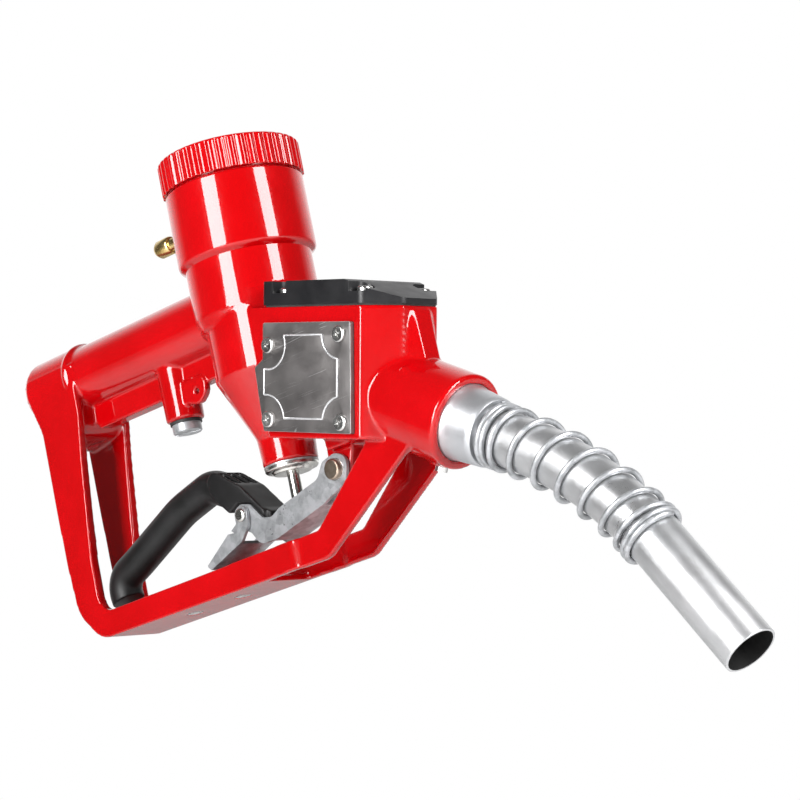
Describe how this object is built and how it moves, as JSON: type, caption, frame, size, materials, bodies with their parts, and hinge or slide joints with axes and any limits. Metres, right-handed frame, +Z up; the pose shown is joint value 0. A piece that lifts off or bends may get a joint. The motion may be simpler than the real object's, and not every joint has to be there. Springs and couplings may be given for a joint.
{
  "type": "automatic fuel nozzle",
  "caption": "Hand-held automatic fuel dispensing nozzle with a metering head, trigger in a guard, hold-open latch and a bent spout ringed by a wire spring.",
  "frame": {"origin": "centre of the mouth of the threaded hose inlet, on the handle's axis", "axes": "+X along the handle from the hose towards the spout, +Y to the user's left, +Z up along the metering head's axis"},
  "size_m": [0.4171, 0.07, 0.309],
  "materials": {
    "red_enamel": "glossy baked enamel over a die casting",
    "stainless": "bright stainless steel",
    "zinc_steel": "mottled bright zinc plate",
    "nickel_steel": "satin nickel plate",
    "spring_steel": "oiled spring wire",
    "screw_steel": "bright zinc-plated screws",
    "washer_steel": "bright washer",
    "plate_steel": "dull pressed steel with rubbed edges",
    "rack_steel": "phosphated steel",
    "battery_steel": "plain cell cans",
    "tube_aluminium": "polished drawn tube",
    "collar_aluminium": "turned and polished",
    "machined_aluminium": "machined",
    "brass": "turned brass, lightly tarnished",
    "copper_tube": "drawn tube",
    "bronze_pin": "browned bronze",
    "seal_rubber": "moulded seal rubber",
    "button_rubber": "matt button rubber",
    "black_plastic": "fine grained black plastic",
    "grip_plastic": "satin black hand grip",
    "face_plastic": "dark satin face plate",
    "rotor_plastic": "natural moulded plastic",
    "circuit_board": "solder-resist green",
    "display_glass": "grey-green liquid crystal cell",
    "lens_plastic": "clear window"
  },
  "bodies": {
    "nozzle_body": {"body_casting": "red_enamel", "meter_housing": "red_enamel", "inlet_strainer": "stainless", "drain_plug": "zinc_steel", "drain_plug_seal": "seal_rubber", "valve_seat": "brass", "valve_spring": "spring_steel", "gland_nut": "nickel_steel", "gland_washer": "zinc_steel", "gland_seal": "seal_rubber", "flow_guide": "machined_aluminium", "rotor_shaft": "stainless", "housing_o_ring": "seal_rubber", "display_board": "circuit_board", "batteries": "battery_steel", "battery_tray": "black_plastic", "display_screen": "display_glass", "display_face": "face_plastic", "display_lens": "lens_plastic", "brass_fitting": "brass", "plate_gasket": "seal_rubber", "side_plate": "plate_steel", "plate_screws": "screw_steel", "top_cover": "black_plastic", "diaphragm": "seal_rubber", "cover_screws": "screw_steel", "diaphragm_spring": "spring_steel", "spout_tube": "tube_aluminium", "spout_collar": "collar_aluminium", "spout_o_ring": "seal_rubber", "spout_set_screw": "screw_steel", "outlet_seat": "brass", "poppet_guide": "machined_aluminium", "sensing_tube": "copper_tube", "spout_spring": "zinc_steel", "pivot_pin": "bronze_pin", "pivot_clip": "spring_steel", "pivot_washers": "washer_steel", "hold_open_rack": "rack_steel", "rack_screws": "screw_steel"},
    "trigger": {"trigger_lever": "zinc_steel", "lever_grip": "grip_plastic", "latch_rivet": "nickel_steel"},
    "latch": {"hold_open_latch": "zinc_steel"},
    "valve": {"valve_stem": "nickel_steel", "main_poppet": "brass", "poppet_seal": "seal_rubber"},
    "rotor": {"turbine_rotor": "rotor_plastic"},
    "ring": {"knurled_ring": "red_enamel"},
    "plunger": {"shutoff_plunger": "stainless"},
    "outlet_valve": {"outlet_poppet": "brass"},
    "reset_key": {"reset_button": "button_rubber"},
    "total_key": {"total_button": "button_rubber"}
  },
  "joints": [
    {"name": "trigger_pull", "type": "hinge", "parent": "nozzle_body", "child": "trigger", "pos_m": [0.202, 0, -0.0942], "axis": [0, 1, 0], "range_deg": [0, 12], "stiffness_Nm_per_rad": 3, "springref_deg": -14.32},
    {"name": "valve_lift", "type": "slide", "parent": "nozzle_body", "child": "valve", "axis": [0, 0, 1], "range_m": [0, 0.0085], "deforming": ["valve_spring"]},
    {"name": "latch_swing", "type": "hinge", "parent": "trigger", "child": "latch", "pos_m": [0.136, 0, -0.099], "axis": [0, -1, 0], "range_deg": [-15, 12], "stiffness_Nm_per_rad": 0.05},
    {"name": "rotor_spin", "type": "hinge", "parent": "nozzle_body", "child": "rotor", "pos_m": [0.163, 0, 0.01], "axis": [0, 0, 1], "continuous": true},
    {"name": "ring_turn", "type": "hinge", "parent": "nozzle_body", "child": "ring", "pos_m": [0.163, 0, 0.065], "axis": [0, 0, 1], "range_deg": [-60, 60]},
    {"name": "plunger_lift", "type": "slide", "parent": "nozzle_body", "child": "plunger", "axis": [0.284, 0, 0.9588], "range_m": [0, 0.0025], "stiffness_N_per_m": 700, "deforming": ["diaphragm_spring"]},
    {"name": "outlet_open", "type": "slide", "parent": "nozzle_body", "child": "outlet_valve", "axis": [0.848, 0, -0.5299], "range_m": [0, 0.004], "stiffness_N_per_m": 400},
    {"name": "reset_press", "type": "slide", "parent": "nozzle_body", "child": "reset_key", "axis": [0, 0, -1], "range_m": [0, 0.001], "stiffness_N_per_m": 300},
    {"name": "total_press", "type": "slide", "parent": "nozzle_body", "child": "total_key", "axis": [0, 0, -1], "range_m": [0, 0.001], "stiffness_N_per_m": 300}
  ],
  "couplings": [
    {"joint": "valve_lift", "follows": "trigger_pull", "m_per_rad": 0.0396}
  ]
}
